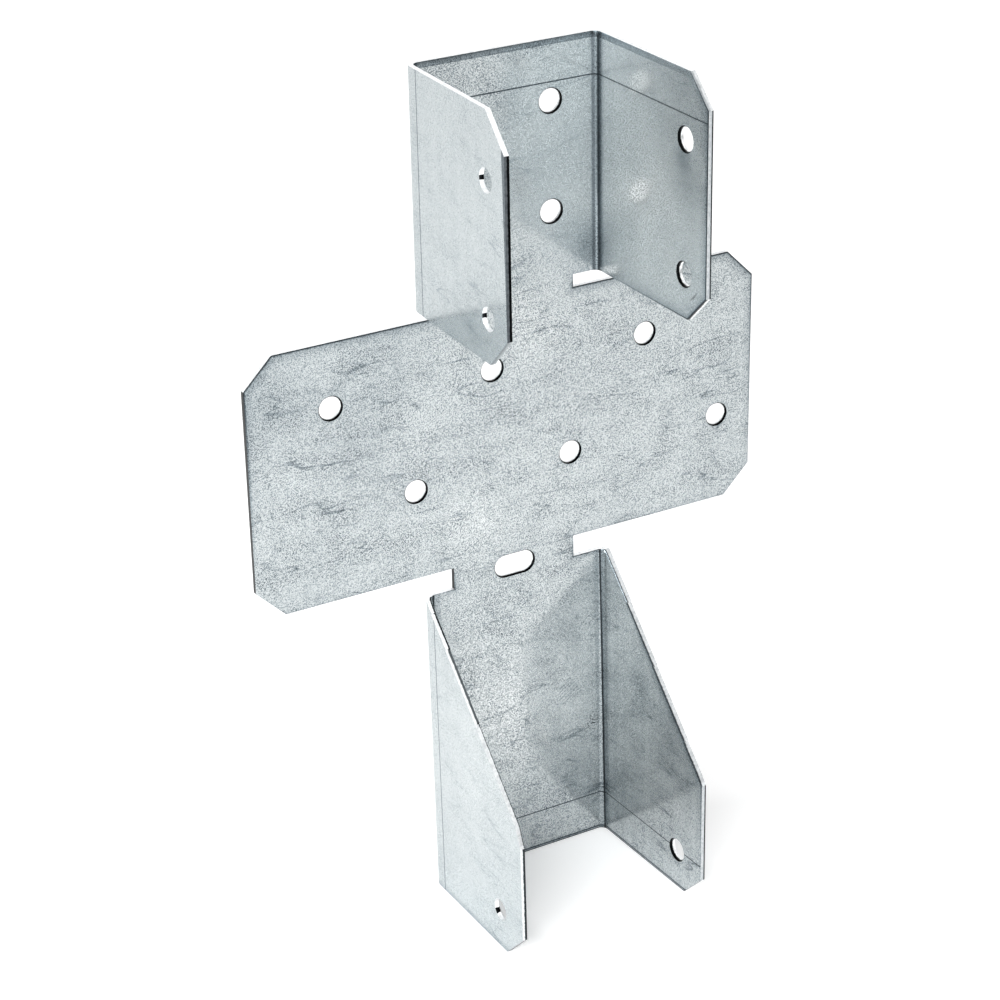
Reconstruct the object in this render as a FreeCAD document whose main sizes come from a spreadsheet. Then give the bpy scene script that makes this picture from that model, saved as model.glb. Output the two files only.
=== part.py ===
import FreeCAD, Part
import math
import os
import Sketcher

# Folded joist hanger: one steel sheet with an upper channel, a wide nailing plate and a
# deeper lower channel whose flanges are cut off at a slope.
# The back of the sheet lies on y = 0 and the flanges point towards -y.
# The bottom edge is z = 0 and the middle of the neck and its slot is x = 0.

doc = FreeCAD.newDocument("JoistHanger")
sizes = doc.addObject("Spreadsheet::Sheet", "Sizes")
values = {
    "thickness": 1.2,
    "bend_radius": 1.45,  # inside of every fold
    "outer_radius": "=bend_radius + thickness",
    "lap": 4,  # each fold profile runs this far back into the flat sheet
    "rim_break": 0.25,  # drawn-in rim of each hole on the side the punch came from
    # heights, stacked from the bottom edge
    "lower_height": 71.5,
    "lower_gap": 4.95,
    "plate_height": 57.45,
    "upper_gap": 2.75,
    "upper_height": 50.85,
    "plate_bottom": "=lower_height + lower_gap",
    "plate_top": "=plate_bottom + plate_height",
    "upper_bottom": "=plate_top + upper_gap",
    "upper_top": "=upper_bottom + upper_height",
    # necks and nailing plate
    "upper_neck_side": 15.1,
    "lower_neck_side": 14.7,
    "plate_width": 120.15,
    "plate_shift": 0.225,  # to the left of the neck's middle
    "plate_corner": 6.4,
    "plate_left": "=plate_width / 2 + plate_shift",
    "plate_right": "=plate_width / 2 - plate_shift",
    "plate_left_cut": "=plate_left - plate_corner",
    "plate_right_cut": "=plate_right - plate_corner",
    "plate_low_cut": "=plate_bottom + plate_corner",
    "plate_high_cut": "=plate_top - plate_corner",
    # upper channel
    "upper_clear_width": 41.7,
    "upper_flat": "=upper_clear_width / 2 - bend_radius",
    "upper_flange": 38.3,  # straight run from the fold to the front edge
    "upper_left_splay": 1.5,  # degrees outwards
    "upper_right_splay": 0.8,
    "upper_left_corner": 7.1,
    "upper_right_corner": 6.3,
    # lower channel, a little off to the right, its left fold drifting in towards the bottom
    "lower_clear_width": 43,
    "lower_shift": 0.65,
    "lower_drift": 0.73,
    "lower_flat_right": "=lower_clear_width / 2 - bend_radius + lower_shift",
    "lower_flat_left": "=lower_clear_width / 2 - bend_radius - lower_shift - lower_drift",
    "lower_left_flange": 36.7,
    "lower_right_flange": 36.3,
    "lower_left_splay": -0.3,
    "lower_right_splay": 2.25,
    "lower_left_corner": 6.9,
    "lower_right_corner": 6.1,
    # sloping front of the lower flanges, depths from the back face; it steepens near its end
    "left_slope_start": 1.6,
    "left_slope_end": 39.3,
    "left_end_height": 29.6,
    "left_steep_depth": 1.8,
    "left_steep_rise": 4.5,
    "left_knee_depth": "=left_slope_end - left_steep_depth",
    "left_knee_height": "=left_end_height + left_steep_rise",
    "right_slope_start": 1.85,
    "right_slope_end": 39.1,
    "right_end_height": 29.8,
    "right_steep_depth": 1.9,
    "right_steep_rise": 2.4,
    "right_knee_depth": "=right_slope_end - right_steep_depth",
    "right_knee_height": "=right_end_height + right_steep_rise",
    "bite_step": 0.35,  # ridge left where two bites of the cutting tool meet
    "slope_beyond": "=left_slope_end + lap",
    "slope_above": "=lower_height + lap / 2",
    # nail holes
    "hole": 5,
    "web_hole_side": 10.05,
    "web_row_gap": 23.35,
    "web_rows_up": 1,  # middle of the rows above the middle of the upper channel
    "web_low_row": "=upper_bottom + upper_height / 2 + web_rows_up - web_row_gap / 2",
    "web_high_row": "=web_low_row + web_row_gap",
    "plate_row_gap": 23.15,
    "plate_rows_up": 2.95,  # middle of the rows above the middle of the plate
    "plate_low_row": "=plate_bottom + plate_height / 2 + plate_rows_up - plate_row_gap / 2",
    "plate_high_row": "=plate_low_row + plate_row_gap",
    "plate_first_margin": 18.7,
    "plate_last_margin": 8.7,
    "plate_pitch": "=(plate_width - plate_first_margin - plate_last_margin) / 2.5",
    "plate_high_first": "=plate_first_margin - plate_left",
    "plate_low_first": "=plate_high_first + plate_pitch / 2",
    "flange_row_gap": 27.7,
    "flange_rows_down": 2.325,  # middle of the rows below the middle of the upper channel
    "flange_low_row": "=upper_bottom + upper_height / 2 - flange_rows_down - flange_row_gap / 2",
    "flange_high_row": "=flange_low_row + flange_row_gap",
    "upper_hole_margin": 7.65,  # to the front edge
    "upper_hole_depth": "=upper_flange + outer_radius - upper_hole_margin",
    "lower_hole_margin": 8.9,
    "lower_hole_depth": "=lower_right_flange + outer_radius - lower_hole_margin",
    "lower_hole_height": 9.4,
    # slot in the lower neck
    "slot_above": 2.15,  # its middle above the lower channel
    "slot_height": "=lower_height + slot_above",
    "slot_length": 9.5,
    "slot_radius": 2.45,
    "slot_side": "=slot_length / 2 - slot_radius",
}
for row, (name, value) in enumerate(values.items(), 1):
    sizes.set(f"A{row}", name)
    sizes.set(f"B{row}", str(value))
    sizes.setAlias(f"B{row}", name)
doc.recompute()

body = doc.addObject("PartDesign::Body", "FoldedHanger")
body.Label = "folded_hanger"
body.Placement = FreeCAD.Placement()
planes = {item.Role: item for item in body.Origin.OriginFeatures}


# A position is a plain number or the name of a size, with a minus sign for the far side.
def number(item):
    if not isinstance(item, str):
        return item
    value = getattr(sizes, item.lstrip("-"))
    return -value if item.startswith("-") else value


def add_sketch(name, plane):
    sketch = body.newObject("Sketcher::SketchObject", name)
    sketch.AttachmentSupport = [(planes[plane], "")]
    sketch.MapMode = "FlatFace"
    return sketch


def bind(sketch, constraint, formula):
    index = sketch.addConstraint(constraint)
    sketch.setExpression(f"Constraints[{index}]", formula)


# Ties a point of a sketch to the sketch origin along "DistanceX" or "DistanceY".
def hold(sketch, kind, shape, point, item):
    value = number(item)
    ends = (-1, 1, shape, point) if value >= 0 else (shape, point, -1, 1)
    constraint = Sketcher.Constraint(kind, *ends, abs(value))
    if isinstance(item, str):
        sign = "" if (value >= 0) != item.startswith("-") else "-"
        bind(sketch, constraint, f"{sign}Sizes.{item.lstrip('-')}")
    else:
        sketch.addConstraint(constraint)


def add_polygon(sketch, corners):
    points = [FreeCAD.Vector(number(x), number(y), 0) for x, y in corners]
    first = sketch.GeometryCount
    for here, there in zip(points, points[1:] + points[:1]):
        sketch.addGeometry(Part.LineSegment(here, there), False)
    for side, (x, y) in enumerate(corners):
        line = first + side
        following = first + (side + 1) % len(corners)
        sketch.addConstraint(Sketcher.Constraint("Coincident", line, 2, following, 1))
        hold(sketch, "DistanceX", line, 1, x)
        hold(sketch, "DistanceY", line, 1, y)


def add_hole(sketch, x, y):
    centre = FreeCAD.Vector(number(x), number(y), 0)
    circle = sketch.addGeometry(Part.Circle(centre, FreeCAD.Vector(0, 0, 1), sizes.hole / 2), False)
    hold(sketch, "DistanceX", circle, 3, x)
    hold(sketch, "DistanceY", circle, 3, y)
    bind(sketch, Sketcher.Constraint("Diameter", circle, sizes.hole), "Sizes.hole")


def add_pad(name, sketch, length):
    pad = body.newObject("PartDesign::Pad", name)
    pad.Profile = sketch
    pad.setExpression("Length", f"Sizes.{length}")
    doc.recompute()
    return pad


# side is -1 to cut the left half, 1 the right half and 0 both, through everything there.
def add_pocket(name, sketch, side):
    before = body.Shape.Volume
    pocket = body.newObject("PartDesign::Pocket", name)
    pocket.Profile = sketch
    pocket.Type = "ThroughAll"
    pocket.Midplane = side == 0
    pocket.Reversed = side > 0
    doc.recompute()
    if not pocket.Shape.Volume < before - 0.1:
        raise ValueError(f"{name} cuts nothing")
    return pocket


# the flat sheet: upper web, neck, plate with cut corners, neck, lower web
right_edge = [
    ("upper_flat", "upper_top"),
    ("upper_flat", "upper_bottom"),
    ("upper_neck_side", "upper_bottom"),
    ("upper_neck_side", "plate_top"),
    ("plate_right_cut", "plate_top"),
    ("plate_right", "plate_high_cut"),
    ("plate_right", "plate_low_cut"),
    ("plate_right_cut", "plate_bottom"),
    ("lower_neck_side", "plate_bottom"),
    ("lower_neck_side", "lower_height"),
    ("lower_flat_right", "lower_height"),
    ("lower_flat_right", 0),
]
left_edge = [
    ("-lower_flat_left", 0),
    ("-lower_flat_left", "lower_height"),
    ("-lower_neck_side", "lower_height"),
    ("-lower_neck_side", "plate_bottom"),
    ("-plate_left_cut", "plate_bottom"),
    ("-plate_left", "plate_low_cut"),
    ("-plate_left", "plate_high_cut"),
    ("-plate_left_cut", "plate_top"),
    ("-upper_neck_side", "plate_top"),
    ("-upper_neck_side", "upper_bottom"),
    ("-upper_flat", "upper_bottom"),
    ("-upper_flat", "upper_top"),
]
outline = add_sketch("SheetOutline", "XZ_Plane")
add_polygon(outline, right_edge + left_edge)
add_pad("FlatSheet", outline, "thickness")


# One folded flange: a strip of the web, the bend and the straight flange, seen from above.
# lean is how far the fold moves outwards for each millimetre of height.
def add_flange(name, side, flat, run, splay, bottom, height, lean="0"):
    sketch = add_sketch(name + "Profile", "XY_Plane")
    if bottom:
        sketch.setExpression("AttachmentOffset.Base.z", f"Sizes.{bottom}")
    inner, outer = sizes.bend_radius, sizes.outer_radius
    turn = math.radians(number(splay))
    across = FreeCAD.Vector(side * math.cos(turn), math.sin(turn), 0)
    along = FreeCAD.Vector(side * math.sin(turn), -math.cos(turn), 0)
    fold = FreeCAD.Vector(side * number(flat), -outer, 0)
    up = FreeCAD.Vector(0, 1, 0)
    back = FreeCAD.Vector(-side * sizes.lap, 0, 0)
    reach = along * number(run)
    begin = math.pi / 2 if side < 0 else turn
    finish = math.pi - turn if side < 0 else math.pi / 2
    web_end, tip_end = (1, 2) if side < 0 else (2, 1)

    def line(start, end):
        return sketch.addGeometry(Part.LineSegment(start, end), False)

    def arc(radius):
        circle = Part.Circle(fold, FreeCAD.Vector(0, 0, 1), radius)
        return sketch.addGeometry(Part.ArcOfCircle(circle, begin, finish), False)

    rear = line(fold + up * outer + back, fold + up * outer)
    outside = arc(outer)
    outer_face = line(fold + across * outer, fold + across * outer + reach)
    tip = line(fold + across * outer + reach, fold + across * inner + reach)
    inner_face = line(fold + across * inner + reach, fold + across * inner)
    inside = arc(inner)
    front = line(fold + up * inner, fold + up * inner + back)
    end = line(fold + up * inner + back, fold + up * outer + back)

    rules = [
        ("Tangent", rear, 2, outside, web_end),
        ("Tangent", outside, tip_end, outer_face, 1),
        ("Tangent", inner_face, 2, inside, tip_end),
        ("Tangent", inside, web_end, front, 1),
        ("Coincident", outer_face, 2, tip, 1),
        ("Coincident", tip, 2, inner_face, 1),
        ("Coincident", front, 2, end, 1),
        ("Coincident", end, 2, rear, 1),
        ("Coincident", inside, 3, outside, 3),
        ("Horizontal", rear),
        ("Horizontal", front),
        ("Vertical", end),
        ("Perpendicular", tip, outer_face),
        ("Parallel", inner_face, outer_face),
        ("PointOnObject", rear, 1, -1),
    ]
    for rule in rules:
        sketch.addConstraint(Sketcher.Constraint(*rule))
    bind(sketch, Sketcher.Constraint("Radius", inside, inner), "Sizes.bend_radius")
    bind(sketch, Sketcher.Constraint("Radius", outside, outer), "Sizes.outer_radius")
    bind(sketch, Sketcher.Constraint("Distance", rear, sizes.lap), "Sizes.lap")
    bind(sketch, Sketcher.Constraint("Distance", outer_face, number(run)), f"Sizes.{run}")
    bind(
        sketch,
        Sketcher.Constraint("Angle", outer_face, side * turn - math.pi / 2),
        f"({side} * Sizes.{splay} - 90) * 1 deg",
    )
    hold(sketch, "DistanceX", inside, 3, flat if side > 0 else "-" + flat)

    pad = add_pad(name, sketch, height)
    if lean != "0":
        pad.UseCustomVector = True
        pad.Direction = FreeCAD.Vector(0, 0, 1)
        pad.AlongSketchNormal = True
        pad.setExpression("Direction.x", lean)
        doc.recompute()
    return pad


add_flange("UpperLeft", -1, "upper_flat", "upper_flange", "upper_left_splay", "upper_bottom",
           "upper_height")
add_flange("UpperRight", 1, "upper_flat", "upper_flange", "upper_right_splay", "upper_bottom",
           "upper_height")
add_flange("LowerLeft", -1, "lower_flat_left", "lower_left_flange", "lower_left_splay", None,
           "lower_height", "-Sizes.lower_drift / Sizes.lower_height")
add_flange("LowerRight", 1, "lower_flat_right", "lower_right_flange", "lower_right_splay", None,
           "lower_height")


# The slope was cut in several bites, each starting a little low and ending a little high.
def add_slope(name, side, joints):
    hand = "left" if side < 0 else "right"
    start = number(f"{hand}_slope_start")
    knee = number(f"{hand}_knee_depth")
    knee_height = number(f"{hand}_knee_height")
    fall = (sizes.lower_height - knee_height) / (knee - start)
    corners = [(-start, "lower_height")]
    for joint in joints:
        depth = start + joint * (knee - start)
        height = sizes.lower_height - fall * (depth - start)
        ridge = sizes.bite_step / 2
        corners += [(-depth, height + ridge), (-depth, height - ridge)]
    corners += [
        (f"-{hand}_knee_depth", f"{hand}_knee_height"),
        (f"-{hand}_slope_end", f"{hand}_end_height"),
        ("-slope_beyond", f"{hand}_end_height"),
        ("-slope_beyond", "slope_above"),
        (-start, "slope_above"),
    ]
    sketch = add_sketch(name + "Outline", "YZ_Plane")
    add_polygon(sketch, corners)
    add_pocket(name, sketch, side)


add_slope("LeftSlope", -1, [0.07, 0.23, 0.555])
add_slope("RightSlope", 1, [0.24, 0.525, 0.855])


# Cuts off a front corner of a flange. The short edge wanted runs through the sheet at this
# height, on this side and well in front of the web.
def add_corner(name, side, heights, size):
    base = body.Tip
    wanted = []
    for index, edge in enumerate(base.Shape.Edges, 1):
        middle = edge.CenterOfMass
        if abs(edge.Length - sizes.thickness) < 0.01 and middle.x * side > 0 and middle.y < -30:
            if min(abs(middle.z - height) for height in heights) < 0.01:
                wanted.append(f"Edge{index}")
    if len(wanted) != len(heights):
        raise ValueError(f"{name} finds {len(wanted)} edges")
    chamfer = body.newObject("PartDesign::Chamfer", name)
    chamfer.Base = (base, wanted)
    chamfer.setExpression("Size", f"Sizes.{size}")
    doc.recompute()


upper_ends = [sizes.upper_bottom, sizes.upper_top]
add_corner("UpperLeftCorners", -1, upper_ends, "upper_left_corner")
add_corner("UpperRightCorners", 1, upper_ends, "upper_right_corner")
add_corner("LowerLeftCorner", -1, [0], "lower_left_corner")
add_corner("LowerRightCorner", 1, [0], "lower_right_corner")

# nail holes through web and plate, and the rounded slot in the lower neck
front_holes = add_sketch("FrontHoleCentres", "XZ_Plane")
for side in ("", "-"):
    for web_row in ("web_low_row", "web_high_row"):
        add_hole(front_holes, side + "web_hole_side", web_row)
for step in range(3):
    add_hole(front_holes, sizes.plate_high_first + step * sizes.plate_pitch, "plate_high_row")
    add_hole(front_holes, sizes.plate_low_first + step * sizes.plate_pitch, "plate_low_row")

height = FreeCAD.Vector(0, sizes.slot_height, 0)
side = FreeCAD.Vector(sizes.slot_side, 0, 0)
rise = FreeCAD.Vector(0, sizes.slot_radius, 0)
axis = FreeCAD.Vector(0, 0, 1)
right_round = Part.ArcOfCircle(
    Part.Circle(height + side, axis, sizes.slot_radius), -math.pi / 2, math.pi / 2
)
left_round = Part.ArcOfCircle(
    Part.Circle(height - side, axis, sizes.slot_radius), math.pi / 2, 3 * math.pi / 2
)
right_arc = front_holes.addGeometry(right_round, False)
top_line = front_holes.addGeometry(
    Part.LineSegment(height + side + rise, height - side + rise), False
)
left_arc = front_holes.addGeometry(left_round, False)
low_line = front_holes.addGeometry(
    Part.LineSegment(height - side - rise, height + side - rise), False
)
for rule in [
    ("Tangent", right_arc, 2, top_line, 1),
    ("Tangent", top_line, 2, left_arc, 1),
    ("Tangent", left_arc, 2, low_line, 1),
    ("Tangent", low_line, 2, right_arc, 1),
    ("Horizontal", top_line),
]:
    front_holes.addConstraint(Sketcher.Constraint(*rule))
hold(front_holes, "DistanceX", right_arc, 3, "slot_side")
hold(front_holes, "DistanceY", right_arc, 3, "slot_height")
hold(front_holes, "DistanceX", left_arc, 3, "-slot_side")
bind(
    front_holes,
    Sketcher.Constraint("Radius", right_arc, sizes.slot_radius),
    "Sizes.slot_radius",
)
add_pocket("FrontHoles", front_holes, 0)

# nail holes straight across both flanges of each channel
side_holes = add_sketch("SideHoleCentres", "YZ_Plane")
add_hole(side_holes, "-upper_hole_depth", "flange_low_row")
add_hole(side_holes, "-upper_hole_depth", "flange_high_row")
add_hole(side_holes, "-lower_hole_depth", "lower_hole_height")
add_pocket("SideHoles", side_holes, 0)


# The punch came from the front of the web and the inside of the flanges, and drew in the
# rims there. Such a face looks forwards from the web, or inwards from a flange.
def is_punched(face):
    middle = face.CenterOfMass
    normal = face.normalAt(0, 0)
    if abs(middle.y + sizes.thickness) < 0.01:
        return normal.y < -0.9
    return normal.x * middle.x < -0.9 * abs(middle.x)


# Breaks the rims of all holes and of the slot.
base = body.Tip
rims = []
for face in base.Shape.Faces:
    if isinstance(face.Surface, Part.Plane) and is_punched(face):
        for wire in face.Wires:
            if not wire.isSame(face.OuterWire):
                rims += wire.Edges
wanted = []
for index, edge in enumerate(base.Shape.Edges, 1):
    if any(edge.isSame(rim) for rim in rims):
        wanted.append(f"Edge{index}")
drawn_in = body.newObject("PartDesign::Chamfer", "DrawnInRims")
drawn_in.Base = (base, wanted)
drawn_in.setExpression("Size", "Sizes.rim_break")
doc.recompute()

for item in doc.Objects:
    if {"Invalid", "Error"} & set(item.State):
        raise ValueError(f"{item.Name} is not valid: {item.State}")
shape = body.Shape
if shape.isNull() or not shape.isValid() or len(shape.Solids) != 1:
    raise ValueError("the folded sheet is not one valid solid")

os.makedirs("parts", exist_ok=True)
shape.exportStep(f"parts/{body.Label}.step")
print(f"{body.Label}: {shape.Volume:.1f} mm3, box {shape.BoundBox}")
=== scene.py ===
import math

import bmesh
import bpy
from mathutils import Matrix, Vector
from mathutils.bvhtree import BVHTree


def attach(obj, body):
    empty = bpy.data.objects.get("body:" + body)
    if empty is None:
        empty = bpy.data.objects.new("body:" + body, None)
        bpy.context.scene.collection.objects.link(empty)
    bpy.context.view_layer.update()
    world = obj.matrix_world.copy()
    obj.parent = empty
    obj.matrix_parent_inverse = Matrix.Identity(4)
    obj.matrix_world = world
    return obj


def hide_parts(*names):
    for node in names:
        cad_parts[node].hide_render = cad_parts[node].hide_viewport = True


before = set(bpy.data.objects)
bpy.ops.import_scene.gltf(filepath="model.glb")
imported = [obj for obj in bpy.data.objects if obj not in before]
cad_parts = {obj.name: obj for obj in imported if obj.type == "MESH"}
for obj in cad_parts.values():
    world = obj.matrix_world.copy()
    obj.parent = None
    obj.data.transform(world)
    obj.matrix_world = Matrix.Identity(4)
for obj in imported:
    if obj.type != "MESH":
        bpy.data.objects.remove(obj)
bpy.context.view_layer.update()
mm = 0.001
fadeFrom = 0.6  # a round patch fades from this share of its radius


def toLinear(hexColour):
    parts = [int(hexColour[i:i + 2], 16) / 255 for i in (1, 3, 5)]
    return [c / 12.92 if c <= 0.04045 else ((c + 0.055) / 1.055) ** 2.4 for c in parts] + [1]


# adds one node, with its settings, its input values and its links
def addNode(tree, kind, settings=None, values=None, links=None):
    node = tree.nodes.new(kind)
    for name, value in (settings or {}).items():
        setattr(node, name, value)
    for name, value in (values or {}).items():
        node.inputs[name].default_value = value
    for name, output in (links or {}).items():
        tree.links.new(output, node.inputs[name])
    return node


print("folded sheet")
# places are in mm, in the frame's own axes
sheetForm = {
    "webFront": -1.2,
    "foldStep": math.radians(40),  # facets of a fold meet at less than this, cut edges at more
    "flatStep": math.radians(0.3),  # facets of one flat meet at less than this
    "mergeStep": math.radians(0.6),
    "sharpStep": math.radians(32),
    "mergeDistance": 0.001,
    "rimShare": 0.2,  # how far through the sheet the broken rim of an opening reaches
    "farOff": 10,  # past the ends of all tone curves
    # the shear draws the rim in: rings from the cut inwards, with their width and how far they sink
    "rings": ((0.35, 0.13), (0.85, 0.04), (1.3, 0)),
    "reach": 1.6,  # how many widths a ring may run at a sharp corner
    "cornerReach": 0.2,  # and where the lower flanges begin
    "cornerBeyond": 18.5,
    "cornerHeights": (60, 72.5),
    "upperFoot": 136,
    "lowerTop": 72,
    "upperFold": 20.6,  # x - y at the start of each inner fold
    "lowerFold": (21.9, 19.87),
    "lowerDrift": 0.0102,
    "upperCrease": 2.2,  # the black line of painted reflection and shade on each fold, from its start
    "lowerCrease": (2.04, -0.0205),
    "frontEnd": 40.9,  # the worn end of the upper left flange, wider towards its top
    "wornWidth": 1.1,
    "wornHeights": (141, 180),
    "openingSize": 12,  # openings are smaller than this, and have more facets
    "openingFacets": 12,
    "leftFlangeFrom": (-15, -8),
    "blotHeights": (-0.2, -1.4),  # of the painted black reflections in the left flanges' holes, upper and lower
    "blotHalf": 0.45,
}
# tone by the punched side, tone by the back, and where in between it breaks, at the edge of the smeared
# and the torn zone of the shear; the tones of each place are painted reflections: bright on cuts that
# look up, nearly black on cuts that look left, on the punched half of the holes, at the blots and on some ends
cutTones = {
    "rightSlope": (0.3, 0.84, 0.2),
    "leftSlopeTop": (0.1, 1, 0.3),
    "leftSlopeMiddle": (0.4, 1, 0.5),
    "leftSlopeFoot": (0.2, 0.9, 0.15),
    "rightTopCorner": (0.7, 0.86, 0.4),
    "facingUp": (1, 1, 0.66),
    "facingLeft": (0, 0.06, 0.5),
    "rightBites": (0.5, 0.9, 0.4),
    "rightFront": (0.74, 0.1, 0.7),
    "upperLeftFront": (0, 0.34, 0.5),
    "lowerLeftFront": (0.12, 0.9, 0.5),
    "rightLowCorner": (0.02, 1, 0.4),
    "leftLowCorner": (0.75, 0.62, 0.5),
    "leftFootCorner": (0.3, 0.4, 0.5),
    "elsewhere": (0.8, 0.4, 0.66),
    "hole": (0, 1, 0.5),
    "leftFlangeHole": (1, 1, 0.5),
    "blot": (0, 0.05, 0.5),
}
# how dark the painted reflection along a rim is, as a flat band and as a line that fades inwards
rimTones = {
    "hole": (0, 0.08),
    "flangeTop": (0.42, 0),
    "webTop": (1, 0),
    "rightLowCorner": (0, 1),
    "facingUp": (0, 1),
    "leftSlopeTop": (0, 0.1),
    "slope": (0, 0.75),
    "side": (0, 0.2),
    "elsewhere": (0, 0),
}

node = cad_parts["folded_hanger"]
sheet = bpy.data.objects.new("foldedSheet", node.data.copy())
bpy.context.scene.collection.objects.link(sheet)
bm = bmesh.new()
bm.from_mesh(sheet.data)
bmesh.ops.remove_doubles(bm, verts=bm.verts[:], dist=sheetForm["mergeDistance"] * mm)
bmesh.ops.dissolve_limit(bm, angle_limit=sheetForm["mergeStep"], verts=bm.verts[:], edges=bm.edges[:])
bm.normal_update()
# through runs from 0 on the punched side to 1 on the back, inward is the way from the rim in mm,
# band and line say how dark the painted reflection along that rim is, and bend and the creases run
# across the folds in mm, for the painted shade and reflections there
marks = ("through", "hole", "inward", "band", "line", "bend", "upperCrease", "lowerCrease", "worn")
at = {name: bm.verts.layers.float.new(name) for name in marks}
near, far, breakAt = (bm.faces.layers.float.new(name) for name in ("near", "far", "breakAt"))


# all faces reached from the first ones without crossing an edge sharper than the limit
def spreadFrom(first, limit):
    found = set(first)
    queue = list(first)
    while queue:
        face = queue.pop()
        for edge in face.edges:
            for other in edge.link_faces:
                if other not in found and face.normal.angle(other.normal) < limit:
                    found.add(other)
                    queue.append(other)
    return found


# sets have no order of their own, so this keeps the mesh the same in each run
def inOrder(parts):
    return sorted(parts, key=lambda part: part.index)


def liesOn(face, y):
    return abs(face.normal.y) > 0.999 and abs(face.calc_center_median().y / mm - y) < 0.01


# names the place of a cut face, and after it that of a rim, for the tones above
def cutPlace(x, z, facing):
    if 0.12 < facing.z < 0.8 and z < sheetForm["lowerTop"]:
        if x > 0:
            return "rightSlope"
        return "leftSlopeTop" if z > 65 else "leftSlopeMiddle" if z > 52.5 else "leftSlopeFoot"
    if facing.z > 0.12:
        return "rightTopCorner" if x > 0 and facing.z < 0.8 else "facingUp"
    if facing.x < -0.9:
        return "facingLeft"
    if facing.y < -0.9:
        if x > 0:
            return "rightBites" if 32 < z < 71 else "rightFront"
        return "upperLeftFront" if z > sheetForm["upperFoot"] else "lowerLeftFront"
    if facing.y < -0.3:
        return "rightLowCorner" if x > 0 else "leftLowCorner" if z > 10 else "leftFootCorner"
    return "elsewhere"


def rimPlace(x, y, z, outward, aroundHole):
    if aroundHole:
        return "hole"
    if outward.z > 0.8 and z > 180:
        return "flangeTop" if y < -4 else "webTop"
    if x > 16 and z > 130 and outward.y < -0.3 and outward.z < -0.3:
        return "rightLowCorner"
    if outward.z > 0.2:
        return "facingUp" if z > 76 else "leftSlopeTop" if x < -16 and z > 65 else "slope"
    return "side" if z > 10 and outward.x > -0.5 else "elsewhere"


punched = spreadFrom([f for f in bm.faces if liesOn(f, sheetForm["webFront"])], sheetForm["foldStep"])
backs = spreadFrom([f for f in bm.faces if liesOn(f, 0)], sheetForm["foldStep"])

for vert in bm.verts:
    vert[at["inward"]] = sheetForm["farOff"]
    for name in ("bend", "upperCrease", "lowerCrease", "worn"):
        vert[at[name]] = -sheetForm["farOff"]
wornFrom, wornTo = sheetForm["wornHeights"]
for face in bm.faces:
    face.material_index = 0 if face in punched or face in backs else 1
    for vert in face.verts:
        if face in backs:
            vert[at["through"]] = 1
            x, y, z = vert.co / mm
            if x < 0 and z > sheetForm["upperFoot"]:
                width = sheetForm["wornWidth"] * (z - wornFrom) / (wornTo - wornFrom)
                vert[at["worn"]] = width - y - sheetForm["frontEnd"]
        elif face not in punched and vert[at["through"]] == 0:
            offRim = all(f not in punched for f in vert.link_faces)
            vert[at["through"]] = sheetForm["rimShare"] if offRim else 0

left = set(f for f in bm.faces if f not in punched and f not in backs)
while left:
    wall = spreadFrom([next(iter(left))], sheetForm["foldStep"]) & left
    left -= wall
    spots = [v.co / mm for f in wall for v in f.verts]
    low, high = (Vector([pick(s[i] for s in spots) for i in range(3)]) for pick in (min, max))
    isHole = max(high - low) < sheetForm["openingSize"] and len(wall) > sheetForm["openingFacets"]
    centre = (low + high) / 2
    beyondX, beyondY = sheetForm["leftFlangeFrom"]
    inLeftFlange = centre.x < beyondX and centre.y < beyondY
    blotAt = sheetForm["blotHeights"][0 if centre.z > sheetForm["lowerTop"] else 1]
    for face in wall:
        middle = face.calc_center_median() / mm
        aside = middle - centre
        if not isHole:
            place = cutPlace(middle.x, middle.z, face.normal)
        elif inLeftFlange and aside.y > 0 and abs(aside.z - blotAt) < sheetForm["blotHalf"]:
            place = "blot"
        else:
            place = "leftFlangeHole" if inLeftFlange else "hole"
        face[near], face[far], face[breakAt] = cutTones[place]
        if isHole:
            for vert in face.verts:
                vert[at["hole"]] = 1

bm.verts.index_update()
bm.faces.index_update()
inner = inOrder(punched)
surface = BVHTree.FromPolygons([v.co.copy() for v in bm.verts], [[v.index for v in f.verts] for f in inner])
inward = 0
for width, sinks in sheetForm["rings"]:
    ring = bmesh.ops.inset_region(
        bm, faces=inner, thickness=width * mm, depth=0, use_boundary=True, use_even_offset=True
    )["faces"]
    innerVerts = {v for f in inner for v in f.verts}
    rims = {v for f in ring for v in f.verts} - innerVerts
    bm.edges.index_update()
    for edge in inOrder({e for v in rims for e in v.link_edges}):
        rim, other = edge.verts if edge.verts[0] in rims else reversed(edge.verts)
        if other not in innerVerts:
            continue
        way = other.co - rim.co
        x, y, z = rim.co / mm
        if inward == 0:
            place = rimPlace(x, y, z, -way.normalized(), rim[at["hole"]] > 0.5)
            rim[at["band"]], rim[at["line"]] = rimTones[place]
        # at a sharp corner the inset runs too far, so it is drawn back and put on the sheet again
        low, high = sheetForm["cornerHeights"]
        atCorner = abs(x) > sheetForm["cornerBeyond"] and low < z < high
        reach = sheetForm["cornerReach" if atCorner else "reach"] * width * mm
        if way.length > reach:
            other.co = rim.co + way.normalized() * reach
        other.co = surface.find_nearest(other.co)[0]
        other[at["band"]], other[at["line"]] = rim[at["band"]], rim[at["line"]]
        other[at["inward"]] = inward + width
    for vert in rims:
        faces = [f for f in vert.link_faces if f in punched or f in ring]
        if vert[at["hole"]] < 0.5:  # a punch draws the sheet in far less than the shear does
            vert.co -= sum((f.normal for f in faces), Vector()).normalized() * sinks * mm
        if inward == 0:
            vert[at["inward"]] = 0
    inward += width
    punched |= set(ring)

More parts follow.
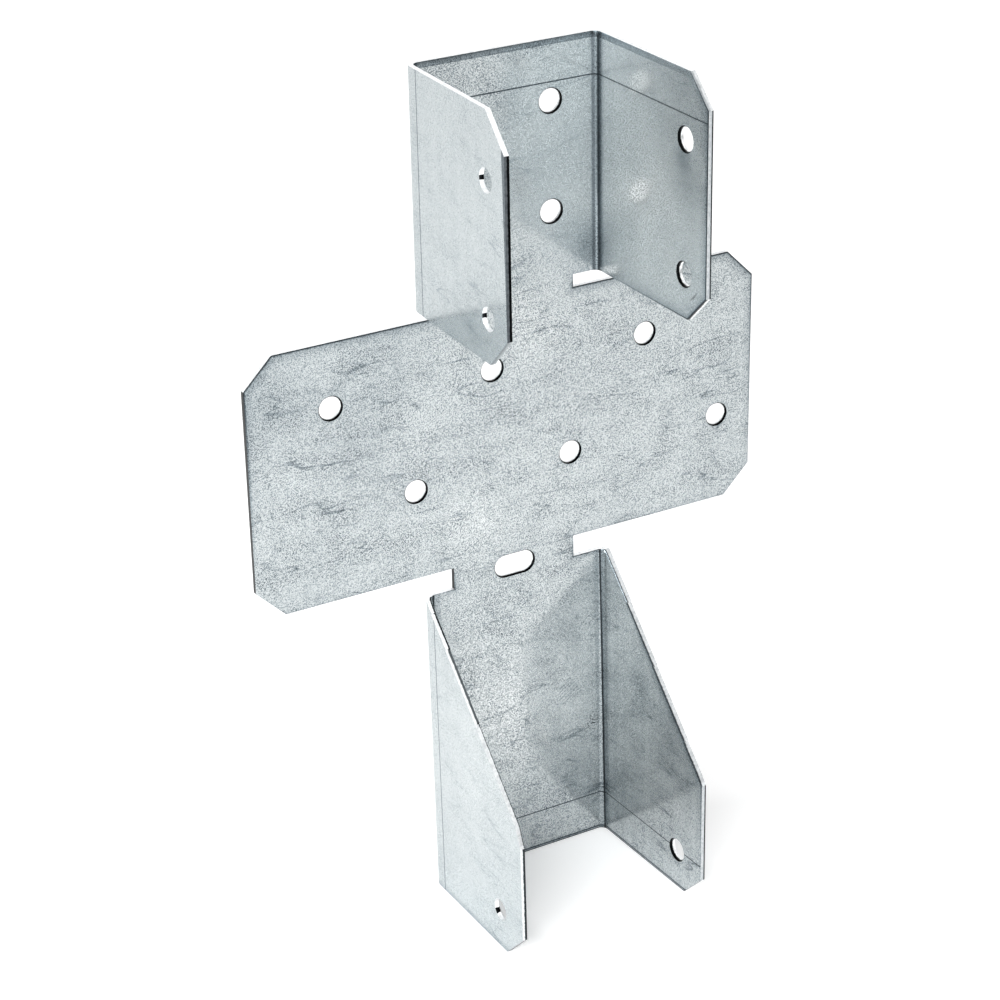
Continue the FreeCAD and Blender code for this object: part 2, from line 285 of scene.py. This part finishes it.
# the rings may cross the edges of the flats inside them, so each flat is filled afresh
bm.faces.index_update()
left = inOrder(inner)
while left:
    flat = inOrder(spreadFrom(left[:1], sheetForm["flatStep"]) & set(left))
    left = [f for f in left if f not in flat]
    if max(len(f.verts) for f in flat) > 4 or len(flat) > 2:
        facing = max(flat, key=lambda f: f.calc_area()).normal.copy()
        rim = [e for f in flat for e in f.edges if sum(other in flat for other in e.link_faces) == 1]
        bmesh.ops.delete(bm, geom=flat, context="FACES")
        filled = bmesh.ops.triangle_fill(bm, use_beauty=True, use_dissolve=False, edges=rim, normal=facing)
        for face in filled["geom"]:
            if isinstance(face, bmesh.types.BMFace):
                face.material_index = 0

for vert in {v for f in bm.faces if f.material_index == 0 and f not in backs for v in f.verts}:
    x, y, z = vert.co / mm
    if z > sheetForm["upperFoot"]:
        vert[at["bend"]] = abs(x) - y - sheetForm["upperFold"]
        vert[at["upperCrease"]] = vert[at["bend"]] - sheetForm["upperCrease"]
    elif z < sheetForm["lowerTop"]:
        toRight, toLeft = sheetForm["lowerFold"]
        start, slant = sheetForm["lowerCrease"]
        bend = max(x - toRight, -x - toLeft - sheetForm["lowerDrift"] * z) - y
        vert[at["lowerCrease"]] = bend - start - slant * z

bm.normal_update()
bm.to_mesh(sheet.data)
bm.free()
for polygon in sheet.data.polygons:
    polygon.use_smooth = True
for edge in sheet.data.edges:
    edge.use_edge_sharp = False
sheet.data.set_sharp_from_angle(angle=sheetForm["sharpStep"])
weighted = sheet.modifiers.new("evenShading", "WEIGHTED_NORMAL")
weighted.keep_sharp = True
weighted.weight = 50
print("  faces", len(sheet.data.polygons))

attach(sheet, "root")
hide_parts("folded_hanger")

print("galvanised zinc")
# Hot-dip galvanised mild steel, skin-passed: polished flats between matt pits, so it mirrors
# sharply but weakly, under faint clouds, drag streaks, rubs and the scribe lines of the workshop,
# with painted reflection and shade along the rims, the folds and the foot, and broad painted light
# and shade over the flats.
# All sizes are in mm.
zincLook = {
    "ramp": {0.0: "#101315", 0.2: "#444C51", 0.45: "#848E93", 0.8: "#C4C9CA", 1.0: "#E9EBEB"},
    "startTone": 0.81,
    "metallic": 0.9,
    "flats": 0.14,  # roughness of the polished flats, and of the pits
    "pits": 0.5,
    "pitSize": 0.14,  # real pits are finer: drawn as coarse as they need to show
    "pitShare": 0.55,
    "pitEdge": 0.05,
    "pitTone": 0.2,
    "pitDepths": (0.62, 1),  # outside the patches and in them
    "grimeDepth": 1.7,
    "streakSize": (38, 38, 7),
    "streakLevel": 0.52,
    "streakWidth": 0.012,
    "streakTone": 0.45,
    "cleanOutside": 0.6,  # how much of the soiling the outside of the folds lacks
    "cleanSpot": ((20.9, -22.0, 160.0), 40, 0.7),  # and the right flange, by centre, radius and share
    "cleanTone": 0.8,
    "scribeHeights": (178.65, 9.7),
    "scribeWidth": 0.28,
    "scribeTone": 0.3,
    "scribeRise": -0.03,
    "toolLine": (-5.14, 0.16, 0.5),  # the press tool's edge on the outside: y, half width and tone
    "footShade": (1.8, 0.74),  # height and tone of the painted contact shade along the foot
    "bumpHeight": {"cloud": 0.03, "patch": 0.003, "scratchOne": -0.008},
}
# each layer of the skin: size of its marks along its own axes, turned on the sheet; the part of
# the noise that shows; and how far it darkens
zincLayers = {
    "cloud": {
        "size": (30, 30, 13), "turn": (0, 0, 0), "detail": 3, "shows": (0.40, 0.68), "tone": 0.95
    },
    "patch": {
        "size": (9, 9, 5), "turn": (0.1, 0.1, 0), "detail": 5, "shows": (0.42, 0.70), "tone": 0.95
    },
    "column": {
        "size": (3, 3, 45), "turn": (0, 0, 0), "detail": 3, "shows": (0.50, 0.75), "tone": 0.94
    },
    "grain": {
        "size": (0.45, 0.45, 0.45), "turn": (0, 0, 0), "detail": 1, "shows": (0.38, 0.66), "tone": 0.97
    },
    "scratchOne": {
        "size": (8, 8, 0.12), "turn": (0.62, -0.72, 0), "detail": 0, "shows": (0.80, 0.86), "tone": 0.72
    },
    "scratchTwo": {
        "size": (6, 6, 0.12), "turn": (-0.9, 0.95, 0), "detail": 0, "shows": (0.81, 0.87), "tone": 0.75
    },
    "scratchThree": {
        "size": (5, 5, 0.12), "turn": (1.4, 1.35, 0), "detail": 0, "shows": (0.81, 0.87), "tone": 0.78
    },
}
# soft marks, darker or brighter: some are rubs, the broad ones are painted light and shade, and two
# darken the corner at the foot of the upper right fold: centre, radius, and the tone they bring
rubsAndPaintedLight = [
    # darker in the corner at the foot of the upper right fold
    ((19.2, -1.2, 141.5), 6.5, 0.8),
    ((16.0, -1.2, 146.0), 8, 0.86),
    # rubs
    ((20.9, -32.5, 169.5), 4.4, 0.74),
    ((20.9, -34.0, 164.0), 9, 0.84),
    ((23.0, -15.5, 44.0), 6, 0.84),
    ((20.9, -17.5, 181.4), 3.6, 1.05),
    ((20.9, -17.6, 158.8), 4.0, 1.03),
    # broad painted light and shade over the flats and inside the channels
    ((20.9, -22.0, 158.0), 36, 1.3),
    ((11.0, -1.2, 40.0), 30, 1.2),
    ((23.5, -22.0, 25.0), 18, 1.14),
    ((23.5, -7.0, 40.0), 16, 0.87),
    ((-23.5, -16.0, 40.0), 40, 1.1),
    ((12.0, -1.2, 163.0), 18, 0.88),
    ((-36.0, -1.2, 111.0), 16, 0.88),
    ((-54.0, -1.2, 124.0), 18, 0.84),
    ((-30.0, -1.2, 128.0), 18, 0.90),
    ((4.0, -1.2, 128.0), 14, 1.12),
    ((-10.0, -1.2, 86.0), 15, 1.10),
]
# where grime sits in the pits: centre and radius
grimeSpots = [((18.6, -1.2, 143.0), 8), ((19.3, -1.2, 29.0), 5)]
# one bundle of parallel scratches: where, which way across them, how far apart and how wide
scratchBundle = {
    "centre": (13.0, -1.2, 38.2),
    "radius": 3.6,
    "across": (-0.57, 0, 0.82),
    "spacing": 0.75,
    "edges": (0.05, 0.14),
    "tone": 0.72,
}
# tones across the rims, the folds and the foot, which are painted reflection and shade, and along
# the worn end: what each runs along and over which span, and for some the weight with which it shows
toneCurves = [
    # painted dark reflections along the rolled rims, as a band and as a line
    {
        "along": "inward", "span": (0, 2.5), "weight": "band",
        "tones": {0: 0.55, 0.38: 0.60, 0.46: 0.45, 0.52: 1},
    },
    {
        "along": "inward", "span": (0, 2.5), "weight": "line",
        "tones": {0: 0.1, 0.08: 0.28, 0.18: 0.74, 0.45: 0.86, 1: 1},
    },
    # painted shade that dims the highlight on the upper folds
    {"along": "bend", "span": (-0.5, 4.5), "tones": {0.1: 1, 0.14: 0.86, 0.6: 0.86, 0.74: 1}},
    # painted dark reflections and shade along each fold, with a lighter centre
    {
        "along": "upperCrease", "span": (-2.5, 2.5),
        "tones": {
            0.08: 1, 0.16: 0.45, 0.28: 0.42, 0.33: 0.8, 0.41: 0.8, 0.45: 0.28,
            0.55: 0.24, 0.6: 0.5, 0.72: 0.76, 0.94: 1,
        },
    },
    {
        "along": "lowerCrease", "span": (-2.5, 2.5),
        "tones": {
            0.1: 1, 0.18: 0.84, 0.45: 0.76, 0.47: 0.08, 0.54: 0.06, 0.57: 0.42,
            0.64: 0.7, 0.8: 0.86, 0.98: 1,
        },
    },
    # painted contact shade against the floor, a painted floor reflection above it, and a painted dark rim
    # reflection, along the foot inside the channels
    {
        "along": "height", "span": (0, 2), "weight": "inside",
        "tones": {0: 0.2, 0.1: 0.3, 0.15: 0.85, 0.26: 0.85, 0.3: 0.25, 0.4: 0.3, 0.48: 1},
    },
    {"along": "worn", "span": (-0.5, 0.5), "tones": {0.44: 1, 0.54: 0.42}},
]
zinc = bpy.data.materials.new("galvanisedZinc")
zinc.use_nodes = True
tree = zinc.node_tree
shader = tree.nodes["Principled BSDF"]
shader.inputs["Metallic"].default_value = zincLook["metallic"]
coords = addNode(tree, "ShaderNodeTexCoord").outputs["Object"]
inMm = addNode(tree, "ShaderNodeVectorMath", {"operation": "SCALE"}, {"Scale": 1 / mm}, {0: coords}).outputs[0]
axes = addNode(tree, "ShaderNodeSeparateXYZ", links={0: inMm}).outputs
fields = {
    name: addNode(tree, "ShaderNodeAttribute", {"attribute_name": name}).outputs["Fac"]
    for name in ("through", "inward", "band", "line", "bend", "upperCrease", "lowerCrease", "worn")
}
fields["height"] = axes["Z"]
through = fields["through"]
inside = addNode(tree, "ShaderNodeMath", {"operation": "LESS_THAN"}, {1: 0.5}, {0: through}).outputs[0]
fields["inside"] = inside

tones = []
shown = {}
for name, layer in zincLayers.items():
    place = addNode(
        tree, "ShaderNodeMapping", {"vector_type": "TEXTURE"},
        {"Rotation": layer["turn"], "Scale": layer["size"]}, {"Vector": inMm},
    )
    noise = addNode(
        tree, "ShaderNodeTexNoise", {}, {"Scale": 1, "Detail": layer["detail"]}, {"Vector": place.outputs[0]}
    )
    low, high = layer["shows"]
    mark = addNode(tree, "ShaderNodeMapRange", {}, {1: low, 2: high}, {0: noise.outputs["Fac"]}).outputs[0]
    shown[name] = mark
    tones.append(addNode(tree, "ShaderNodeMapRange", {}, {3: 1, 4: layer["tone"]}, {0: mark}).outputs[0])

# the pits: cells of one chance value each, darkest where the patches and the grime are
share = zincLook["pitShare"]
cells = addNode(tree, "ShaderNodeTexVoronoi", {}, {"Scale": 1 / zincLook["pitSize"]}, {"Vector": inMm})
chance = addNode(tree, "ShaderNodeSeparateColor", links={0: cells.outputs["Color"]}).outputs[0]
pit = addNode(tree, "ShaderNodeMapRange", {}, {1: 0, 2: share, 3: 1, 4: 0}, {0: chance}).outputs[0]
shallow, deep = zincLook["pitDepths"]
soiling = addNode(tree, "ShaderNodeMapRange", {}, {3: shallow, 4: deep}, {0: shown["patch"]}).outputs[0]
for centre, radius in grimeSpots:
    gap = addNode(tree, "ShaderNodeVectorMath", {"operation": "DISTANCE"}, {1: centre}, {0: inMm})
    grime = addNode(
        tree, "ShaderNodeMapRange", {}, {1: 0, 2: radius, 3: zincLook["grimeDepth"], 4: 0},
        {0: gap.outputs["Value"]},
    )
    soiling = addNode(
        tree, "ShaderNodeMath", {"operation": "MAXIMUM"}, links={0: soiling, 1: grime.outputs[0]}
    ).outputs[0]
depth = addNode(tree, "ShaderNodeMath", {"operation": "MULTIPLY"}, links={0: pit, 1: soiling}).outputs[0]
pitted = addNode(tree, "ShaderNodeMapRange", {"clamp": False}, {3: 1, 4: zincLook["pitTone"]}, {0: depth})
tones.append(pitted.outputs[0])

# drag streaks: the contour lines of a stretched noise, broken up by the patches
drag = addNode(
    tree, "ShaderNodeMapping", {"vector_type": "TEXTURE"}, {"Scale": zincLook["streakSize"]}, {"Vector": inMm}
)
waves = addNode(
    tree, "ShaderNodeTexNoise", {}, {"Scale": 1, "Detail": 3, "Distortion": 0.3}, {"Vector": drag.outputs[0]}
)
offLine = addNode(
    tree, "ShaderNodeMath", {"operation": "SUBTRACT"}, {1: zincLook["streakLevel"]}, {0: waves.outputs["Fac"]}
)
offLine = addNode(tree, "ShaderNodeMath", {"operation": "ABSOLUTE"}, links={0: offLine.outputs[0]})
line = addNode(
    tree, "ShaderNodeMapRange", {}, {1: 0, 2: zincLook["streakWidth"], 3: 1, 4: 0}, {0: offLine.outputs[0]}
)
broken = addNode(
    tree, "ShaderNodeMath", {"operation": "MULTIPLY"}, links={0: line.outputs[0], 1: shown["patch"]}
)
streak = addNode(tree, "ShaderNodeMapRange", {}, {3: 1, 4: zincLook["streakTone"]}, {0: broken.outputs[0]})
tones.append(streak.outputs[0])

# the outside was rubbed cleaner
skin = tones[0]
for other in tones[1:]:
    skin = addNode(tree, "ShaderNodeMath", {"operation": "MULTIPLY"}, links={0: skin, 1: other}).outputs[0]
outside = addNode(
    tree, "ShaderNodeMath", {"operation": "MULTIPLY"}, {1: zincLook["cleanOutside"]}, {0: through}
)
centre, radius, most = zincLook["cleanSpot"]
gap = addNode(tree, "ShaderNodeVectorMath", {"operation": "DISTANCE"}, {1: centre}, {0: inMm})
spot = addNode(
    tree, "ShaderNodeMapRange", {}, {1: radius * fadeFrom, 2: radius, 3: most, 4: 0}, {0: gap.outputs["Value"]}
)
clean = addNode(
    tree, "ShaderNodeMath", {"operation": "MAXIMUM"}, links={0: outside.outputs[0], 1: spot.outputs[0]}
)
cleaned = addNode(
    tree, "ShaderNodeMix", {"data_type": "FLOAT"}, {3: zincLook["cleanTone"]}, {0: clean.outputs[0], 2: skin}
)
tones = [cleaned.outputs[0]]

# the rubs, and the broad painted light and shade
for centre, radius, markTone in rubsAndPaintedLight:
    gap = addNode(tree, "ShaderNodeVectorMath", {"operation": "DISTANCE"}, {1: centre}, {0: inMm})
    spread = addNode(
        tree, "ShaderNodeMapRange", {"interpolation_type": "SMOOTHSTEP"},
        {1: 0, 2: radius, 3: markTone, 4: 1}, {0: gap.outputs["Value"]},
    )
    tones.append(spread.outputs[0])

across = addNode(
    tree, "ShaderNodeVectorMath", {"operation": "DOT_PRODUCT"}, {1: scratchBundle["across"]}, {0: inMm}
)
stripe = addNode(
    tree, "ShaderNodeMath", {"operation": "PINGPONG"}, {1: scratchBundle["spacing"] / 2},
    {0: across.outputs["Value"]},
)
low, high = scratchBundle["edges"]
stripe = addNode(tree, "ShaderNodeMapRange", {}, {1: low, 2: high, 3: 1, 4: 0}, {0: stripe.outputs[0]})
radius = scratchBundle["radius"]
gap = addNode(tree, "ShaderNodeVectorMath", {"operation": "DISTANCE"}, {1: scratchBundle["centre"]}, {0: inMm})
nearBy = addNode(
    tree, "ShaderNodeMapRange", {}, {1: radius * fadeFrom, 2: radius, 3: 1, 4: 0}, {0: gap.outputs["Value"]}
)
bundle = addNode(
    tree, "ShaderNodeMath", {"operation": "MULTIPLY"}, links={0: stripe.outputs[0], 1: nearBy.outputs[0]}
)
scratched = addNode(tree, "ShaderNodeMapRange", {}, {3: 1, 4: scratchBundle["tone"]}, {0: bundle.outputs[0]})
tones.append(scratched.outputs[0])

# scribe lines run round the inside of each channel, near its ends
grooves = []
for height in zincLook["scribeHeights"]:
    gap = addNode(
        tree, "ShaderNodeMath", {"operation": "COMPARE"}, {1: height, 2: zincLook["scribeWidth"] / 2},
        {0: axes["Z"]},
    )
    groove = addNode(tree, "ShaderNodeMath", {"operation": "MULTIPLY"}, links={0: gap.outputs[0], 1: inside})
    grooves.append(groove.outputs[0])
    scribed = addNode(tree, "ShaderNodeMapRange", {}, {3: 1, 4: zincLook["scribeTone"]}, {0: groove.outputs[0]})
    tones.append(scribed.outputs[0])
# the press tool leaves a line on the outside of each flange; painted contact shade darkens the foot
lineAt, halfWidth, lineTone = zincLook["toolLine"]
gap = addNode(tree, "ShaderNodeMath", {"operation": "COMPARE"}, {1: lineAt, 2: halfWidth}, {0: axes["Y"]})
groove = addNode(tree, "ShaderNodeMath", {"operation": "MULTIPLY"}, links={0: gap.outputs[0], 1: through})
tones.append(addNode(tree, "ShaderNodeMapRange", {}, {3: 1, 4: lineTone}, {0: groove.outputs[0]}).outputs[0])
shadeTop, footShadeTone = zincLook["footShade"]
foot = addNode(tree, "ShaderNodeMapRange", {}, {1: 0, 2: shadeTop, 3: footShadeTone, 4: 1}, {0: axes["Z"]})
tones.append(foot.outputs[0])

for curve in toneCurves:
    low, high = curve["span"]
    along = addNode(tree, "ShaderNodeMapRange", {}, {1: low, 2: high}, {0: fields[curve["along"]]})
    ramp = addNode(tree, "ShaderNodeValToRGB", links={"Fac": along.outputs[0]})
    for place in list(curve["tones"])[2:]:
        ramp.color_ramp.elements.new(place)
    for element, (place, value) in zip(ramp.color_ramp.elements, curve["tones"].items()):
        element.position = place
        element.color = (value, value, value, 1)
    shade = ramp.outputs["Color"]
    if "weight" in curve:
        shade = addNode(
            tree, "ShaderNodeMix", {"data_type": "FLOAT"}, {2: 1}, {0: fields[curve["weight"]], 3: shade}
        ).outputs[0]
    tones.append(shade)

tone = tones[0]
for other in tones[1:]:
    tone = addNode(tree, "ShaderNodeMath", {"operation": "MULTIPLY"}, links={0: tone, 1: other}).outputs[0]
tone = addNode(tree, "ShaderNodeMath", {"operation": "MULTIPLY"}, {1: zincLook["startTone"]}, {0: tone})
ramp = addNode(tree, "ShaderNodeValToRGB", links={"Fac": tone.outputs[0]})
for place in list(zincLook["ramp"])[2:]:
    ramp.color_ramp.elements.new(place)
for element, (place, colour) in zip(ramp.color_ramp.elements, zincLook["ramp"].items()):
    element.position = place
    element.color = toLinear(colour)
tree.links.new(ramp.outputs["Color"], shader.inputs["Base Color"])
edge = zincLook["pitEdge"]
gloss = addNode(
    tree, "ShaderNodeMapRange", {},
    {1: share - edge, 2: share + edge, 3: zincLook["pits"], 4: zincLook["flats"]}, {0: chance},
)
tree.links.new(gloss.outputs[0], shader.inputs["Roughness"])

rises = [(shown[name], rise) for name, rise in zincLook["bumpHeight"].items()]
rises += [(groove, zincLook["scribeRise"]) for groove in grooves]
height = None
for mark, rise in rises:
    part = addNode(tree, "ShaderNodeMath", {"operation": "MULTIPLY"}, {1: rise}, {0: mark}).outputs[0]
    height = part if height is None else addNode(
        tree, "ShaderNodeMath", {"operation": "ADD"}, links={0: height, 1: part}
    ).outputs[0]
bump = addNode(tree, "ShaderNodeBump", {}, {"Strength": 1, "Distance": mm}, {"Height": height})
tree.links.new(bump.outputs["Normal"], shader.inputs["Normal"])

print("sheared steel")
# bare sheared steel, smeared by the blade and torn and grey beyond the break, with painted
# reflections: bright on some cuts, nearly black in the punched holes and on some of the ends
cutLook = {
    "ramp": {0.0: "#050607", 0.3: "#4C5155", 0.6: "#9CA2A6", 1.0: "#F4F6F7"},
    "metallic": (1.0, 0.45),  # dark, and smeared bright, at these tones
    "metallicTones": (0.3, 0.9),
    "roughness": 0.38,
    "tearScale": 1.8,  # tears to a mm, how far they wander through the sheet, and their edge
    "tearWander": 0.24,
    "tearEdge": 0.04,
    "flecks": (0.35, 0.6, 0.86),  # the part of the tears that shows as dull flecks, and their tone
}
cutSteel = bpy.data.materials.new("shearedSteel")
cutSteel.use_nodes = True
tree = cutSteel.node_tree
shader = tree.nodes["Principled BSDF"]
shader.inputs["Roughness"].default_value = cutLook["roughness"]
coords = addNode(tree, "ShaderNodeTexCoord").outputs["Object"]
inMm = addNode(tree, "ShaderNodeVectorMath", {"operation": "SCALE"}, {"Scale": 1 / mm}, {0: coords}).outputs[0]
through, near, far, breakAt = (
    addNode(tree, "ShaderNodeAttribute", {"attribute_name": name}).outputs["Fac"]
    for name in ("through", "near", "far", "breakAt")
)
tears = addNode(
    tree, "ShaderNodeTexNoise", {}, {"Scale": cutLook["tearScale"], "Detail": 3}, {"Vector": inMm}
).outputs["Fac"]
wander = addNode(
    tree, "ShaderNodeMath", {"operation": "MULTIPLY_ADD"},
    {1: cutLook["tearWander"], 2: -cutLook["tearWander"] / 2}, {0: tears},
)
depth = addNode(tree, "ShaderNodeMath", {"operation": "ADD"}, links={0: through, 1: wander.outputs[0]})
beyond = addNode(tree, "ShaderNodeMath", {"operation": "SUBTRACT"}, links={0: depth.outputs[0], 1: breakAt})
edge = cutLook["tearEdge"]
side = addNode(tree, "ShaderNodeMapRange", {}, {1: -edge, 2: edge}, {0: beyond.outputs[0]})
mixed = addNode(tree, "ShaderNodeMix", {"data_type": "FLOAT"}, links={0: side.outputs[0], 2: near, 3: far})
low, high, fleckTone = cutLook["flecks"]
fleck = addNode(tree, "ShaderNodeMapRange", {}, {1: low, 2: high, 3: fleckTone, 4: 1}, {0: tears})
tone = addNode(
    tree, "ShaderNodeMath", {"operation": "MULTIPLY"}, links={0: mixed.outputs[0], 1: fleck.outputs[0]}
).outputs[0]
ramp = addNode(tree, "ShaderNodeValToRGB", links={"Fac": tone})
for place in list(cutLook["ramp"])[2:]:
    ramp.color_ramp.elements.new(place)
for element, (place, colour) in zip(ramp.color_ramp.elements, cutLook["ramp"].items()):
    element.position = place
    element.color = toLinear(colour)
tree.links.new(ramp.outputs["Color"], shader.inputs["Base Color"])
darkCutMetal, smeared = cutLook["metallic"]
dark, bright = cutLook["metallicTones"]
bare = addNode(tree, "ShaderNodeMapRange", {}, {1: dark, 2: bright, 3: darkCutMetal, 4: smeared}, {0: tone})
tree.links.new(bare.outputs[0], shader.inputs["Metallic"])

sheet.data.materials[0] = zinc
sheet.data.materials.append(cutSteel)

print("floor")
floorForm = {"radius": 3.0, "level": -0.00005, "paper": 0.8, "glow": 0.34}
floorMesh = bpy.data.meshes.new("whiteFloor")
bm = bmesh.new()
bmesh.ops.create_circle(bm, cap_ends=True, segments=96, radius=floorForm["radius"])
bmesh.ops.translate(bm, verts=bm.verts[:], vec=(0, 0, floorForm["level"]))
bm.to_mesh(floorMesh)
bm.free()
floor = bpy.data.objects.new("whiteFloor", floorMesh)
bpy.context.scene.collection.objects.link(floor)
# matt white paper, which the camera and the metal see a little whiter than it is lit
paper = bpy.data.materials.new("whitePaper")
paper.use_nodes = True
tree = paper.node_tree
tree.nodes.clear()
out = addNode(tree, "ShaderNodeOutputMaterial")
diffuse = addNode(tree, "ShaderNodeBsdfDiffuse", values={"Color": [floorForm["paper"]] * 3 + [1]})
path = addNode(tree, "ShaderNodeLightPath")
seen = path.outputs["Is Camera Ray"]
for ray in ("Is Glossy Ray", "Is Transmission Ray"):
    seen = addNode(
        tree, "ShaderNodeMath", {"operation": "MAXIMUM"}, links={0: seen, 1: path.outputs[ray]}
    ).outputs[0]
glow = addNode(tree, "ShaderNodeEmission", values={"Color": (1, 1, 1, 1)})
strength = addNode(tree, "ShaderNodeMath", {"operation": "MULTIPLY"}, {1: floorForm["glow"]}, {0: seen})
tree.links.new(strength.outputs[0], glow.inputs["Strength"])
both = addNode(tree, "ShaderNodeAddShader", links={0: diffuse.outputs[0], 1: glow.outputs[0]})
tree.links.new(both.outputs[0], out.inputs["Surface"])
floorMesh.materials.append(paper)

print("light")
studio = {
    "world": 0.25,
    "aim": (0, -0.01, 0.09),
    "lamps": {
        "leftFrontBox": {"at": (-0.9, -0.9, 0.6), "size": (0.8, 0.8), "watts": 26.6},
        "leftBox": {"at": (-1.2, -0.1, 0.6), "size": (0.8, 0.8), "watts": 16.8},
        "rightBox": {"at": (1.2, 0.0, 0.6), "size": (0.8, 0.8), "watts": 4.6},
        "topBox": {"at": (0.0, 0.0, 1.3), "size": (1.4, 1.4), "watts": 1.6},
        "topFrontBox": {"at": (0.45, -0.55, 1.0), "size": (0.8, 0.8), "watts": 0.9},
        "backBox": {"at": (0.6, 1.1, 0.55), "size": (1.2, 1.2), "watts": 4.8},
    },
}
world = bpy.data.worlds.new("paleStudio")
bpy.context.scene.world = world
world.use_nodes = True
background = world.node_tree.nodes["Background"]
background.inputs["Color"].default_value = (1, 1, 1, 1)
background.inputs["Strength"].default_value = studio["world"]
for name, lamp in studio["lamps"].items():
    light = bpy.data.lights.new(name, "AREA")
    light.shape = "RECTANGLE"
    light.size, light.size_y = lamp["size"]
    light.energy = lamp["watts"]
    box = bpy.data.objects.new(name, light)
    box.location = lamp["at"]
    box.rotation_euler = (Vector(lamp["at"]) - Vector(studio["aim"])).to_track_quat("Z", "Y").to_euler()
    bpy.context.scene.collection.objects.link(box)

print("camera")
shot = {
    "azimuth": -29.131,
    "elevation": 25.848,
    "roll": -1.163,
    "place": (-0.25584, -0.45548, 0.34138),
    "focalPixels": 2738.8,
    "centre": (502.63, 500.16),
    "imagePixels": 1000,
    "sensorWidth": 36,
}
az, el, ro = (math.radians(shot[k]) for k in ("azimuth", "elevation", "roll"))
away = Vector((math.sin(az) * math.cos(el), -math.cos(az) * math.cos(el), math.sin(el)))
right = Vector((math.cos(az), math.sin(az), 0))
up = right.cross(-away)
rightTurned = right * math.cos(ro) + up * math.sin(ro)
upTurned = -right * math.sin(ro) + up * math.cos(ro)
pixels = shot["imagePixels"]
camera = bpy.data.cameras.new("photoCamera")
camera.sensor_width = shot["sensorWidth"]
camera.lens = shot["focalPixels"] / pixels * shot["sensorWidth"]
camera.shift_x = -(shot["centre"][0] - pixels / 2) / pixels
camera.shift_y = (shot["centre"][1] - pixels / 2) / pixels
camera.clip_start = 0.01
camera.clip_end = 20
cameraObject = bpy.data.objects.new("photoCamera", camera)
turn = Matrix((rightTurned, upTurned, away)).transposed()
cameraObject.matrix_world = Matrix.Translation(shot["place"]) @ turn.to_4x4()
bpy.context.scene.collection.objects.link(cameraObject)
bpy.context.scene.camera = cameraObject
bpy.context.scene.view_settings.view_transform = "Standard"
